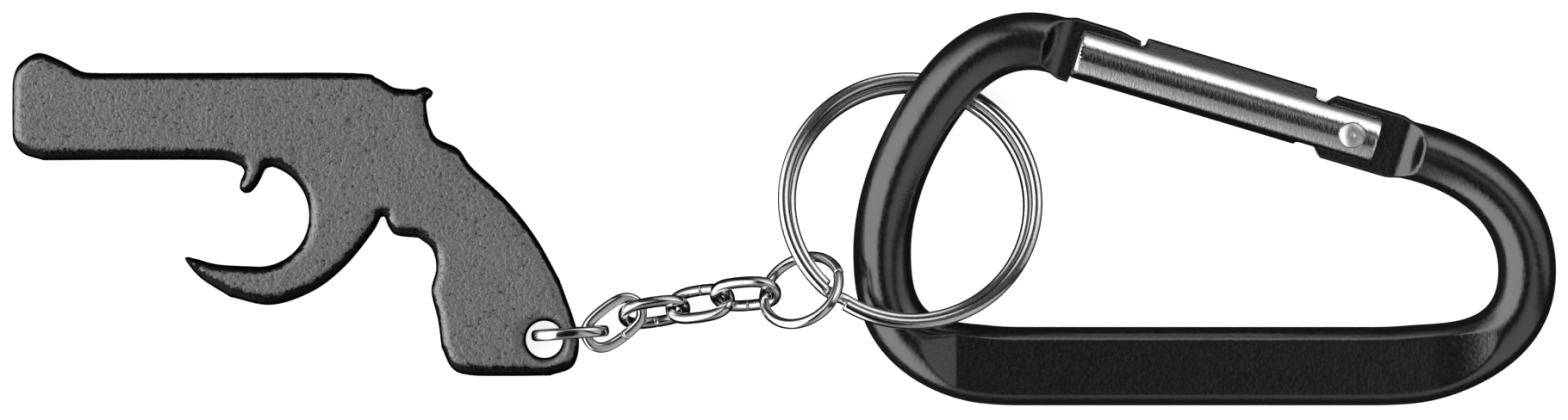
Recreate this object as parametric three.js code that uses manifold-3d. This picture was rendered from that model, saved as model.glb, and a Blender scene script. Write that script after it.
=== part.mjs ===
// Keychain bottle opener: a flat cast plate with a cap-lifting mouth, a five-link chain, a jump ring,
// a split ring and a spring-gate carabiner with a flattened spine.
// Millimetres. The set lies on its back: +X runs along it from the opener to the carabiner, +Z is up.
import * as THREE from 'three';
import { mergeVertices } from 'three/addons/utils/BufferGeometryUtils.js';
import Module from 'manifold-3d';

const wasm = await Module();
wasm.setup();

const DEG = Math.PI / 180;
const MERGE = 1e-4;
const CURVE_STEPS = 3;
const HOLE_STEPS = 12;

// ---- driving dimensions ----

// Opener plate, in its own frame: x from the muzzle end, y from the underside of the barrel.
const PLATE_THICK = 2.8;
const HOLE_CENTRE = [60.75, -20.4];
const HOLE_RADIUS = 2.1;
const BARREL_TOP = 10.0;
const MOUTH_CENTRE = [28.1, -6.3];
const MOUTH_RADIUS = 5.8;
const PLATE_PLACE = [-87.95, 5.65, 0.05];
const PLATE_SLOPE = 1.35 * DEG;

// Chain links: overall length and width over the wire, and the wire's radius.
const LINK = { length: 8.3, width: 5.1, wire: 0.6 };
const END_LINK = { length: 8.9, width: 6.2, wire: 0.65 };
const LINK_OVAL = 2.2;

// Where each link lies: centre, heading in plan, pitch of its long axis, and roll about it.
const LINK_POSES = [
  { centre: [-24.3, -14.05, 3.13], heading: 4, pitch: 0, roll: 90 },
  { centre: [-19.33, -12.85, 2.84], heading: 37.6, pitch: -3.5, roll: 8.4 },
  { centre: [-14.73, -11.64, 2.62], heading: 8.7, pitch: 2.3, roll: 53.9 },
  { centre: [-9.49, -10.68, 3.96], heading: 7.6, pitch: 18.0, roll: -39.4 },
  { centre: [-4.33, -9.54, 5.72], heading: 4.9, pitch: 14.7, roll: 46.1 },
];

// Rings: radii of the wire's centre line, and of the wire.
const JUMP_RADIUS = 4.62;
const JUMP_WIRE = 0.6;
const JUMP_START = 24 * DEG;
const JUMP_TURN = 352 * DEG;
const JUMP_RISE = 0.5;
const JUMP_CENTRE = [2.06, -9.08, 8.05];
const JUMP_NORMAL = [-0.381, 0.544, 0.747];
const SPLIT_OUTER_RADIUS = 14.42;
const SPLIT_INNER_RADIUS = 13.6;
const SPLIT_WIRE = 0.675;
const SPLIT_LAYER = 0.6;
const SPLIT_CENTRE = [14.36, 0.93, 5.13];
const SPLIT_TILT = 15 * DEG;
const SPLIT_HEADING = -14.28 * DEG;
const SPLIT_START = -121.5 * DEG;
const SPLIT_END = 585.5 * DEG;
const SPLIT_STEP = [226 * DEG, 238 * DEG];

// Carabiner, in its own frame: the origin is the middle of the spine's centre line.
const BAR_RADIUS = 3.3;
const SPINE_HALF_WIDTH = 4.5;
const SPINE_HALF_THICK = 2.35;
const SPINE_FLAT = [-27.6, 28.5];
const SPINE_RUN_IN = [-36.5, -24];
const SPINE_RUN_OUT = [24, 37];
const SPINE_BELOW = 8;
const TONGUE_HALF_THICK = 1.15;
const TONGUE_HALF_WIDTH = 3.7;
const TONGUE_BAND = 1.5;
const TONGUE_RAMPS = [0.9, 0.9];
const SPINE_RAMPS = [4, 6];
const CARABINER_PLACE = [47.1, -17.8, 3.3];
const CARABINER_LIFT = 4.9 * DEG;

// Gate, in its own frame: x from its nose end along its axis, y away from the spine.
const GATE_START = [-13.72, 35.94];
const GATE_TURN = -16.68 * DEG;
const GATE_LENGTH = 35.4;
const GATE_RADIUS = 3.05;
const GATE_BORE = 2.5;
const CREST_FROM = 51 * DEG;
const NOSE_TONGUE = [-1.4, 7.0];
const NOSE_SWING = 25.72;
const NOSE_TAPER = 0.45;
const NOSE_FLARE = [-2.6, -1.0];
const HINGE_TONGUE = [27.8, 38.0];
const HINGE_SWING = 4.6;
const HINGE_SHOULDER = 38.8;
const HINGE_FLARE = [37.4, 39.4];
const ARC_SIDES = 180;
const NOSE_SLOT = 7.2;
const HINGE_SLOT = 27.4;
const INNER_SLOT = 26.6;
const OUTER_SLOT_HALF = 1.4;
const INNER_SLOT_HALF = 1.45;
const SPRING_WIRE = 0.4;
const RIVET_AT = 32.4;
const RIVET_RADIUS = 0.85;
const RIVET_HOLE = 1.15;
const RIVET_HEAD = 1.5;
const RIVET_DOME = 0.55;
const DOME_SHOULDER = [0.8, 0.12];
const HEAD_CLEARANCE = 0.1;

// ---- materials ----

function metal(color, roughness) {
  return new THREE.MeshStandardMaterial({ color, roughness, metalness: 1 });
}

const blackSatin = () => metal(0x3c3c3e, 0.5);
const blackGloss = () => metal(0x1c1c1e, 0.2);
const nickel = () => metal(0xc9c9c6, 0.18);
const springSteel = () => metal(0x8d8d8f, 0.35);

// ---- solids ----

function toSolid(geometry) {
  const bare = geometry.clone();
  bare.deleteAttribute('normal');
  bare.deleteAttribute('uv');
  const merged = mergeVertices(bare, MERGE);
  return new wasm.Manifold(new wasm.Mesh({
    numProp: 3,
    vertProperties: new Float32Array(merged.attributes.position.array),
    triVerts: new Uint32Array(merged.index.array),
  }));
}

function toGeometry(solid) {
  const mesh = solid.getMesh();
  const geometry = new THREE.BufferGeometry();
  geometry.setAttribute('position', new THREE.BufferAttribute(mesh.vertProperties, 3));
  geometry.setIndex(new THREE.BufferAttribute(mesh.triVerts, 1));
  return geometry;
}

function node(name, solid, material) {
  const geometry = toGeometry(solid);
  geometry.computeVertexNormals();
  const mesh = new THREE.Mesh(geometry, material);
  mesh.name = name;
  return mesh;
}

// A wire or bar swept along a planar path. The path gives, at t from 0 to 1, the section's centre,
// and the section is an ellipse whose half width lies in the path's plane and half height across it.
function sweep({ path, half, sides, steps, closed = false, up = new THREE.Vector3(0, 0, 1) }) {
  const geometry = new THREE.CylinderGeometry(1, 1, 1, sides, steps, closed);
  const position = geometry.attributes.position;
  const point = new THREE.Vector3();
  for (let i = 0; i < position.count; i += 1) {
    point.fromBufferAttribute(position, i);
    const step = Math.round((0.5 - point.y) * steps);
    const t = (closed ? step % steps : step) / steps;
    const near = 1e-3;
    const ahead = path(closed ? t + near : Math.min(1, t + near));
    const behind = path(closed ? t - near : Math.max(0, t - near));
    const along = ahead.sub(behind).normalize();
    const side = new THREE.Vector3().crossVectors(up, along).normalize();
    const [halfWidth, halfHeight] = half(t);
    const centre = path(t);
    const place = centre
      .addScaledVector(side, point.x * halfWidth)
      .addScaledVector(up, point.z * halfHeight);
    position.setXYZ(i, place.x, place.y, place.z);
  }
  return geometry;
}

const roundWire = (radius) => () => [radius, radius];

function prism(points, from, to) {
  const shape = new THREE.Shape(points.map(([x, y]) => new THREE.Vector2(x, y)));
  const geometry = new THREE.ExtrudeGeometry(shape, { depth: to - from, bevelEnabled: false });
  geometry.translate(0, 0, from);
  return geometry;
}

// The same prism standing along y: its outline is in x and z.
function prismAlongY(points, from, to) {
  return prism(points, -to, -from).rotateX(Math.PI / 2);
}

function cross(radius, from, to, sides) {
  const geometry = new THREE.CylinderGeometry(radius, radius, to - from, sides);
  return geometry.rotateX(Math.PI / 2).translate(0, 0, (from + to) / 2);
}

function smoothstep(low, high, x) {
  return THREE.MathUtils.smoothstep(x, low, high);
}

// ---- opener plate ----

const at = (points) => points.map(([x, y]) => new THREE.Vector2(x, y));

// The same closed outline with no point repeated.
function distinct(points) {
  return points.filter((point, i) => point.distanceTo(points[(i + 1) % points.length]) > 0.02);
}

function plateOutline() {
  const [mx, my] = MOUTH_CENTRE;
  const outline = new THREE.Shape();
  // muzzle end and front sight
  outline.moveTo(0, 4.2);
  outline.lineTo(0, 9.2);
  outline.splineThru(at([[0.9, 11.1], [3.0, 12.3], [5.6, 11.4], [7.9, 10.2]]));
  outline.lineTo(9.9, BARREL_TOP);
  // top strap, rear sight and hammer
  outline.lineTo(39.0, BARREL_TOP);
  outline.splineThru(at([[41.7, 9.4], [43.6, 8.35], [46.0, 8.1], [47.15, 8.4], [48.0, 7.9]]));
  outline.quadraticCurveTo(47.9, 7.2, 47.4, 6.5);
  outline.lineTo(47.6, 4.1);
  // back strap, down to the butt
  outline.splineThru(at([[48.5, 2.55], [50.9, 1.35], [52.5, -0.8], [56.5, -4.6]]));
  outline.splineThru(at([[59.8, -8.8], [62.5, -13.6], [64.3, -18.7], [64.7, -21.3]]));
  outline.quadraticCurveTo(64.3, -23.9, 61.4, -24.55);
  outline.lineTo(52.2, -24.5);
  // front of the grip
  outline.splineThru(at([[50.2, -23.7], [49.0, -21.3], [48.6, -18.2], [47.85, -14.9], [48.4, -12.3]]));
  outline.splineThru(at([[47.9, -10.1], [46.4, -8.85], [43.9, -8.55], [43.0, -7.6], [42.5, -6.6]]));
  outline.lineTo(42.1, -6.5);
  // outside of the lifting claw
  outline.splineThru(at([[41.1, -8.3], [38.1, -12.0], [34.4, -14.9], [29.6, -16.5]]));
  outline.splineThru(at([[24.9, -15.6], [21.6, -13.5], [19.85, -11.5]]));
  outline.lineTo(20.0, -11.0);
  outline.splineThru(at([[21.0, -11.2], [23.6, -11.85], [mx, my - MOUTH_RADIUS]]));
  // mouth
  outline.absarc(mx, my, MOUTH_RADIUS, -90 * DEG, 74 * DEG, false);
  // trigger
  outline.splineThru(at([[28.95, -1.0], [28.45, -2.0], [27.9, -2.95], [27.2, -3.65], [26.5, -3.75]]));
  outline.splineThru(at([[26.0, -3.2], [26.1, -2.3], [26.5, -1.3], [26.2, -0.7]]));
  // underside of the barrel
  outline.lineTo(24.8, -0.15);
  outline.lineTo(22.6, 0);
  outline.lineTo(3.6, 0);
  outline.quadraticCurveTo(0.2, 0.2, 0, 4.2);
  return distinct(outline.getPoints(CURVE_STEPS));
}

function openerPlate() {
  const outline = new THREE.Shape(plateOutline());
  const hole = new THREE.Path();
  hole.absarc(...HOLE_CENTRE, HOLE_RADIUS, 0, 2 * Math.PI, false);
  outline.holes.push(new THREE.Path(distinct(hole.getPoints(HOLE_STEPS))));
  const geometry = new THREE.ExtrudeGeometry(outline, {
    depth: PLATE_THICK,
    bevelEnabled: false,
  });
  const plate = node('opener_plate', toSolid(geometry), blackSatin());
  plate.position.set(...PLATE_PLACE);
  plate.rotation.y = -PLATE_SLOPE;
  return plate;
}

// ---- chain ----

function linkPath({ length, width, wire }) {
  const radius = width / 2 - wire;
  const straight = length / 2 - wire - radius;
  return (t) => {
    const angle = 2 * Math.PI * t;
    const run = straight * Math.tanh(LINK_OVAL * Math.cos(angle)) / Math.tanh(LINK_OVAL);
    return new THREE.Vector3(radius * Math.cos(angle) + run, radius * Math.sin(angle), 0);
  };
}

function chainLink(index) {
  const { centre, heading, pitch, roll } = LINK_POSES[index];
  const size = index === 0 ? END_LINK : LINK;
  const geometry = sweep({
    path: linkPath(size),
    half: roundWire(size.wire),
    sides: 8,
    steps: 28,
    closed: true,
  });
  const link = node(`chain_link_${index + 1}`, toSolid(geometry), nickel());
  link.position.set(...centre);
  link.rotation.set(roll * DEG, -pitch * DEG, heading * DEG, 'ZYX');
  return link;
}

// ---- rings ----

// The jump ring is left open a little where its two ends pass each other.
function jumpRing() {
  const geometry = sweep({
    path: (t) => {
      const angle = JUMP_START + JUMP_TURN * t;
      const rise = JUMP_RISE * (t - 0.5);
      return new THREE.Vector3(JUMP_RADIUS * Math.cos(angle), JUMP_RADIUS * Math.sin(angle), rise);
    },
    half: roundWire(JUMP_WIRE),
    sides: 8,
    steps: 40,
  });
  const ring = node('jump_ring', toSolid(geometry), nickel());
  ring.position.set(...JUMP_CENTRE);
  const normal = new THREE.Vector3(...JUMP_NORMAL).normalize();
  ring.quaternion.setFromUnitVectors(new THREE.Vector3(0, 0, 1), normal);
  return ring;
}

// The split ring's wire makes two turns. Between them it steps inward and down by one wire.
function splitRing() {
  const geometry = sweep({
    path: (t) => {
      const angle = THREE.MathUtils.lerp(SPLIT_START, SPLIT_END, t);
      const inward = smoothstep(...SPLIT_STEP, angle);
      const radius = THREE.MathUtils.lerp(SPLIT_OUTER_RADIUS, SPLIT_INNER_RADIUS, inward);
      const layer = THREE.MathUtils.lerp(SPLIT_LAYER, -SPLIT_LAYER, inward);
      return new THREE.Vector3(radius * Math.cos(angle), radius * Math.sin(angle), layer);
    },
    half: roundWire(SPLIT_WIRE),
    sides: 8,
    steps: 116,
  });
  geometry.rotateZ(-SPLIT_HEADING);
  const ring = node('split_ring', toSolid(geometry), nickel());
  ring.position.set(...SPLIT_CENTRE);
  ring.rotation.set(-SPLIT_TILT, 0, SPLIT_HEADING, 'ZYX');
  return ring;
}

// ---- carabiner body ----

// Centre line of the bar: along the nose tongue, round the three bends, and back along the hinge tongue.
function barPath() {
  const point = (x, y) => new THREE.Vector3(x, y, 0);
  const onGate = (x) => {
    const [x0, y0] = GATE_START;
    return point(x0 + x * Math.cos(GATE_TURN), y0 + x * Math.sin(GATE_TURN));
  };
  const path = new THREE.CurvePath();
  const shoulder = onGate(NOSE_TONGUE[0]);
  const hingeShoulder = onGate(HINGE_SHOULDER);
  const bezier = (a, b, c, d) => path.add(new THREE.CubicBezierCurve3(a, b, c, d));
  path.add(new THREE.LineCurve3(onGate(NOSE_TONGUE[1]), shoulder));
  bezier(shoulder, point(-20.6, 38.5), point(-25.5, 36.0), point(-28.6, 31.9));
  bezier(point(-28.6, 31.9), point(-31.6, 28.3), point(-36.0, 20.6), point(-35.9, 12.8));
  bezier(point(-35.9, 12.8), point(-35.8, 7.4), point(-35.1, 0.15), point(-20.6, 0));
  path.add(new THREE.LineCurve3(point(-20.6, 0), point(20.6, 0)));
  bezier(point(20.6, 0), point(32.4, 0.15), point(37.5, 4.0), point(37.5, 10.8));
  bezier(point(37.5, 10.8), point(37.5, 18.2), point(31.6, 23.1), hingeShoulder);
  path.add(new THREE.LineCurve3(hingeShoulder, onGate(HINGE_TONGUE[0])));
  return path;
}

// How far the bar is pressed flat and wide: 1 along the spine, 0 round the bends.
function spineShare({ x, y }) {
  if (y > SPINE_BELOW) {
    return 0;
  }
  return smoothstep(...SPINE_RUN_IN, x) * (1 - smoothstep(...SPINE_RUN_OUT, x));
}

// How much wider the two tongues are than the bar. Both lie on the gate's axis, and the nose tapers.
function tongueExtra(point) {
  const [x0, y0] = GATE_START;
  const local = new THREE.Vector2(point.x - x0, point.y - y0).rotateAround(new THREE.Vector2(), -GATE_TURN);
  if (Math.abs(local.y) > TONGUE_BAND) {
    return 0;
  }
  const noseTo = NOSE_TONGUE[1];
  const hingeFrom = HINGE_TONGUE[0];
  const extra = TONGUE_HALF_WIDTH - BAR_RADIUS;
  if (local.x < noseTo + 1) {
    const taper = NOSE_TAPER * smoothstep(noseTo / 2, noseTo, local.x);
    return extra * smoothstep(...NOSE_FLARE, local.x) - taper;
  }
  return local.x > hingeFrom - 1 ? extra * (1 - smoothstep(...HINGE_FLARE, local.x)) : 0;
}

function barHalfWidth(point) {
  return THREE.MathUtils.lerp(BAR_RADIUS, SPINE_HALF_WIDTH, spineShare(point)) + tongueExtra(point);
}

// Wedge-ended prism that mills a flat at height z on one face, ramping out at each end.
function faceCutter([from, to], z, [rampIn, rampOut], halfWidth) {
  const top = BAR_RADIUS + 0.4;
  const rise = top - z;
  const outline = [[from, z], [to, z], [to + rampOut * rise, top], [from - rampIn * rise, top]];
  return toSolid(prismAlongY(outline, -halfWidth, halfWidth));
}

function bothFaces(cutter) {
  return cutter.add(cutter.mirror([0, 0, 1]));
}

function inGateFrame(solid) {
  return solid.rotate([0, 0, GATE_TURN / DEG]).translate([...GATE_START, 0]);
}

function carabinerBody() {
  const path = barPath();
  const centre = (t) => path.getPointAt(t);
  let body = toSolid(sweep({
    path: centre,
    half: (t) => [barHalfWidth(centre(t)), BAR_RADIUS],
    sides: 20,
    steps: 88,
  }));
  const wide = SPINE_HALF_WIDTH + 1;
  const spineFlats = bothFaces(faceCutter(SPINE_FLAT, SPINE_HALF_THICK, SPINE_RAMPS, wide));
  const tongueFlats = (span) => bothFaces(faceCutter(span, TONGUE_HALF_THICK, TONGUE_RAMPS, wide));
  const noseFlats = tongueFlats([NOSE_TONGUE[0], NOSE_SLOT]);
  const hingeFlats = tongueFlats([HINGE_SLOT, HINGE_TONGUE[1]]);
  // both tongues end in an arc about the rivet, so that the gate swings clear of them
  const block = (from, to) => {
    const outline = [[from, -wide], [to, -wide], [to, wide], [from, wide]];
    return toSolid(prism(outline, -wide, wide));
  };
  const about = (radius) => toSolid(cross(radius, -wide, wide, ARC_SIDES)).translate([RIVET_AT, 0, 0]);
  const noseEnd = block(NOSE_TONGUE[1] - 2, NOSE_TONGUE[1] + 1).intersect(about(NOSE_SWING));
  const hingeEnd = block(HINGE_TONGUE[0] - 1, RIVET_AT).subtract(about(HINGE_SWING));
  // the nose tongue stays clear of the gate's closed inner wall
  const clearFrom = -0.25;
  const clearBelow = -1.6;
  const deep = TONGUE_HALF_THICK + 0.5;
  const noseRelief = toSolid(prism(
    [[clearFrom, -wide], [NOSE_SLOT, -wide], [NOSE_SLOT, clearBelow], [clearFrom, clearBelow]],
    -deep,
    deep,
  ));
  const rivetHole = toSolid(cross(RIVET_HOLE, -deep, deep, 20)).translate([RIVET_AT, 0, 0]);
  body = body.subtract(spineFlats);
  for (const cut of [noseFlats, hingeFlats, noseEnd, hingeEnd, noseRelief, rivetHole]) {
    body = body.subtract(inGateFrame(cut));
  }
  return node('carabiner_body', body, blackGloss());
}

// ---- gate ----

// A solid round bar along x whose outer side runs on along two tangents to a crest.
function crestedBar(radius, from, to) {
  const geometry = new THREE.CylinderGeometry(radius, radius, to - from, 24).rotateZ(Math.PI / 2);
  const position = geometry.attributes.position;
  const run = radius / Math.tan(CREST_FROM) / (Math.PI / 2 - CREST_FROM);
  for (let i = 0; i < position.count; i += 1) {
    const y = position.getY(i);
    const z = position.getZ(i);
    const past = Math.atan2(y, Math.abs(z)) - CREST_FROM;
    if (past > 0 && y > radius / 2) {
      position.setY(i, radius * Math.sin(CREST_FROM) + run * past * Math.cos(CREST_FROM));
      position.setZ(i, Math.sign(z) * (radius * Math.cos(CREST_FROM) - run * past * Math.sin(CREST_FROM)));
    }
  }
  return toSolid(geometry).translate([(from + to) / 2, 0, 0]);
}

// The sleeve is a rolled tube. Its outer wall is cut away at both ends, where the two tongues pass,
// and its inner wall at the hinge end.
function gateSleeve() {
  const past = GATE_LENGTH + 1;
  const high = GATE_RADIUS / Math.sin(CREST_FROM) + 1;
  const slot = (from, to, y0, y1, half) => {
    const outline = [[from, y0], [to, y0], [to, y1], [from, y1]];
    return toSolid(prism(outline, -half, half));
  };
  const sleeve = crestedBar(GATE_RADIUS, 0, GATE_LENGTH)
    .subtract(crestedBar(GATE_BORE, -1, past))
    .subtract(slot(-1, NOSE_SLOT, 0, high, OUTER_SLOT_HALF))
    .subtract(slot(HINGE_SLOT, past, 0, high, OUTER_SLOT_HALF))
    .subtract(slot(INNER_SLOT, past, -high, 0, INNER_SLOT_HALF))
    .subtract(toSolid(cross(RIVET_HOLE, -high, high, 20)).translate([RIVET_AT, 0, 0]));
  return node('gate_sleeve', sleeve, nickel());
}

function hingeRivet() {
  const seat = GATE_RADIUS + HEAD_CLEARANCE;
  const crown = seat + RIVET_DOME;
  const [shoulderRadius, shoulderDrop] = DOME_SHOULDER;
  const half = [[0, crown], [shoulderRadius, crown - shoulderDrop], [RIVET_HEAD, seat], [RIVET_RADIUS, seat]];
  const profile = [...half.map(([r, z]) => [r, -z]), ...half.reverse()];
  const geometry = new THREE.LatheGeometry(at(profile), 20).rotateX(Math.PI / 2);
  const rivet = node('hinge_rivet', toSolid(geometry), nickel());
  rivet.position.x = RIVET_AT;
  return rivet;
}

// A bent wire spring inside the sleeve, from behind the hinge tongue to the closed inner wall.
function gateSpring() {
  const curve = new THREE.CubicBezierCurve3(
    new THREE.Vector3(27.2, -0.5, 0),
    new THREE.Vector3(24.5, 2.2, 0),
    new THREE.Vector3(20, 1.2, 0),
    new THREE.Vector3(13, -1.8, 0),
  );
  const geometry = sweep({
    path: (t) => curve.getPoint(t),
    half: roundWire(SPRING_WIRE),
    sides: 8,
    steps: 14,
  });
  return node('gate_spring', toSolid(geometry), springSteel());
}

function gate() {
  const group = new THREE.Group();
  group.position.set(...GATE_START, 0);
  group.rotation.z = GATE_TURN;
  group.add(gateSleeve(), hingeRivet(), gateSpring());
  return group;
}

function carabiner() {
  const group = new THREE.Group();
  group.position.set(...CARABINER_PLACE);
  group.rotation.x = CARABINER_LIFT;
  group.add(carabinerBody(), gate());
  return group;
}

// ---- the set ----

const opener = new THREE.Group();
opener.add(openerPlate());
LINK_POSES.forEach((_, index) => opener.add(chainLink(index)));
opener.add(jumpRing(), splitRing(), carabiner());

export default opener;
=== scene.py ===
# The looks of the keychain bottle opener: fine meshes, metal finishes, light and camera, built around
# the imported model. Lengths are in millimetres here and turn into metres where a mesh is made.
import math

import bpy
import numpy as np
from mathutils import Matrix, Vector
from mathutils.geometry import delaunay_2d_cdt


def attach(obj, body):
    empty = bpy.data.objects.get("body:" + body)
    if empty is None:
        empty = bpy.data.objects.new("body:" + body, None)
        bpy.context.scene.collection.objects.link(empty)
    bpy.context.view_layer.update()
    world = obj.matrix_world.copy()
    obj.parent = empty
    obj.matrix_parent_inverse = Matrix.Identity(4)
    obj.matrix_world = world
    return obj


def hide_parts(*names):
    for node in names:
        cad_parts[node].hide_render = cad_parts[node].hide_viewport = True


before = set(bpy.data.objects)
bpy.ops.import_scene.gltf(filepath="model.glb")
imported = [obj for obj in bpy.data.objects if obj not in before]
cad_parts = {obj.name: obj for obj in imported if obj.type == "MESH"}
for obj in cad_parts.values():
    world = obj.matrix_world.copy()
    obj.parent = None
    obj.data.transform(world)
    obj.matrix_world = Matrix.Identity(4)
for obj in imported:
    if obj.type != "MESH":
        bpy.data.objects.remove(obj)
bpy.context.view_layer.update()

MM = 0.001
SEED = 7

# ---- driving dimensions, the same as the model's ----

# Opener plate, in its own frame: x from the muzzle end, y from the underside of the barrel.
PLATE_THICK = 2.8
PLATE_PLACE = (-87.95, 5.65, 0.05)
PLATE_SLOPE = math.radians(1.35)
BARREL_TOP = 10.0
HOLE_CENTRE = (60.75, -20.4)
HOLE_RADIUS = 2.1
MOUTH_CENTRE = (28.1, -6.3)
MOUTH_RADIUS = 5.8
PLATE_ROUND = 1.25

# Chain links: overall length and width over the wire, and the wire's radius.
LINK = (8.3, 5.1, 0.6)
END_LINK = (8.9, 6.2, 0.65)
LINK_OVAL = 2.2

# Where each link lies: centre, then heading in plan, pitch of its long axis and roll about it.
LINK_POSES = (
    ((-24.3, -14.05, 3.13), 4, 0, 90),
    ((-19.33, -12.85, 2.84), 37.6, -3.5, 8.4),
    ((-14.73, -11.64, 2.62), 8.7, 2.3, 53.9),
    ((-9.49, -10.68, 3.96), 7.6, 18.0, -39.4),
    ((-4.33, -9.54, 5.72), 4.9, 14.7, 46.1),
)

# Rings: radii of the wire's centre line and of the wire.
JUMP_RADIUS = 4.62
JUMP_WIRE = 0.6
JUMP_START = math.radians(24)
JUMP_TURN = math.radians(352)
JUMP_RISE = 0.5
JUMP_CENTRE = (2.06, -9.08, 8.05)
JUMP_NORMAL = (-0.381, 0.544, 0.747)
SPLIT_OUTER_RADIUS = 14.42
SPLIT_INNER_RADIUS = 13.6
SPLIT_WIRE = 0.675
SPLIT_LAYER = 0.6
SPLIT_CENTRE = (14.36, 0.93, 5.13)
SPLIT_TILT = math.radians(15)
SPLIT_START = math.radians(-121.5)
SPLIT_END = math.radians(585.5)
SPLIT_STEP = (math.radians(226), math.radians(238))
SPLIT_HEADING = math.radians(-14.28)

# Carabiner, in its own frame: the origin is the middle of the spine's centre line.
BAR_RADIUS = 3.3
SPINE_HALF_WIDTH = 4.5
SPINE_HALF_THICK = 2.35
SPINE_BELOW = 8
SPINE_RUN_IN = (-36.5, -24)
SPINE_RUN_OUT = (24, 37)
# the spine's flat ramps out straight at one end and rolls out at the other
SPINE_RAMP_FROM = -27.6
SPINE_RAMP = 4
SPINE_ROLL_FROM = 26.5
SPINE_ROLL = 61
TONGUE_HALF_THICK = 1.15
TONGUE_HALF_WIDTH = 3.7
TONGUE_BEVEL = 0.35
TONGUE_BAND = 1.5
NOSE_FROM = -1.4
NOSE_FLARE = (-2.6, -1.0)
NOSE_NARROWS = (3.5, 6.7)
NOSE_TAPER = 0.45
NOSE_RELIEF = (-0.1, -1.7)
HINGE_TO = 38.0
HINGE_FLARE = (37.4, 39.4)
HINGE_SHOULDER = 38.8
SHOULDER_ROUND = 2.7
CARABINER_PLACE = (47.1, -17.8, 3.3)
CARABINER_LIFT = math.radians(4.9)

# Gate, in its own frame: x from its nose end along its axis, y away from the spine.
GATE_START = (-13.72, 35.94)
GATE_TURN = math.radians(-16.68)
GATE_LENGTH = 35.4
GATE_RADIUS = 3.05
CREST_FROM = math.radians(51)
NOSE_SWING = 25.72
HINGE_SWING = 4.6
GATE_BORE = 2.5
NOSE_SLOT = 7.2
HINGE_SLOT = 27.4
INNER_SLOT = 26.6
OUTER_SLOT_HALF = 1.4
INNER_SLOT_HALF = 1.45
RIVET_AT = 32.4
RIVET_RADIUS = 0.85
RIVET_HOLE = 1.15
RIVET_HEAD = 1.5
RIVET_DOME = 0.55
RIVET_DIMPLE = (0.26, 0.14)
HEAD_CLEARANCE = 0.1
SPRING_WIRE = 0.4

# The light tent's dark opening overhead: its middle and half size, as parts of the sky's radius in x and y.
OPENING = (-0.09, -0.02)
OPENING_HALF = (0.24, 0.56)
# Where the tent's dark seam runs, measured along the diagonal of x and y.
SEAM_AT = 0.43


# ---- small helpers ----

def smoothstep(low, high, x):
    t = np.clip((np.asarray(x, float) - low) / (high - low), 0, 1)
    return t * t * (3 - 2 * t)


def rotation(roll=0.0, pitch=0.0, heading=0.0):
    """Rotation matrix: roll about x, then pitch about y, then heading about z."""
    cr, sr = math.cos(roll), math.sin(roll)
    cp, sp = math.cos(pitch), math.sin(pitch)
    ch, sh = math.cos(heading), math.sin(heading)
    about_x = np.array([[1, 0, 0], [0, cr, -sr], [0, sr, cr]])
    about_y = np.array([[cp, 0, sp], [0, 1, 0], [-sp, 0, cp]])
    about_z = np.array([[ch, -sh, 0], [sh, ch, 0], [0, 0, 1]])
    return about_z @ about_y @ about_x


def put(points, turn, place):
    return np.asarray(points) @ turn.T + np.array(place)


def in_gate_frame(points):
    """From the gate's frame to the carabiner's."""
    return put(points, rotation(heading=GATE_TURN), (*GATE_START, 0))


def to_gate_frame(points):
    """From the carabiner's frame to the gate's."""
    return put(points - np.array([*GATE_START, 0]), rotation(heading=-GATE_TURN), (0, 0, 0))


def in_carabiner(points):
    """From the carabiner's frame to the model's."""
    return put(points, rotation(roll=CARABINER_LIFT), CARABINER_PLACE)


def add_piece(name, points, faces, material, body, node, slot):
    """A smooth mesh object that rides on a body and stands for a node of the model."""
    mesh = bpy.data.meshes.new(name)
    mesh.from_pydata((np.asarray(points) * MM).tolist(), [], faces)
    mesh.update()
    mesh.polygons.foreach_set("use_smooth", [True] * len(mesh.polygons))
    mesh.materials.append(material)
    piece = bpy.data.objects.new(name, mesh)
    bpy.context.scene.collection.objects.link(piece)
    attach(piece, body)
    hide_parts(node)
    return piece


def store(piece, name, values):
    """Keeps one number for each vertex, for the material to read."""
    attribute = piece.data.attributes.new(name, "FLOAT", "POINT")
    attribute.data.foreach_set("value", np.asarray(values, np.float32))


# ---- sweeps ----

def tube(centres, up, half_width, half_height, sides, closed=False, bevel=0.0, square=2.0):
    """Points and faces of a section swept along a path. Open ends are bevelled and capped.

    The section is an ellipse at square 2 and grows flatter faces above that.
    """
    centres = np.asarray(centres, float)
    if closed:
        along = np.roll(centres, -1, axis=0) - np.roll(centres, 1, axis=0)
    else:
        along = np.gradient(centres, axis=0)
    along /= np.linalg.norm(along, axis=1)[:, None]
    side = np.cross(up, along)
    side /= np.linalg.norm(side, axis=1)[:, None]
    wide = np.broadcast_to(half_width, len(centres)).astype(float)
    tall = np.broadcast_to(half_height, len(centres)).astype(float)
    if bevel:
        wide, tall, centres, along, side = with_bevels(wide, tall, centres, along, side, bevel)
    angle = np.linspace(0, 2 * math.pi, sides, endpoint=False)
    across = np.sign(np.cos(angle)) * np.abs(np.cos(angle)) ** (2 / square)
    over = np.sign(np.sin(angle)) * np.abs(np.sin(angle)) ** (2 / square)
    rings = (
        centres[:, None, :]
        + side[:, None, :] * (wide[:, None] * across)[..., None]
        + np.asarray(up, float) * (tall[:, None] * over)[..., None]
    )
    return rings.reshape(-1, 3), ring_faces(len(centres), sides, closed)


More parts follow.
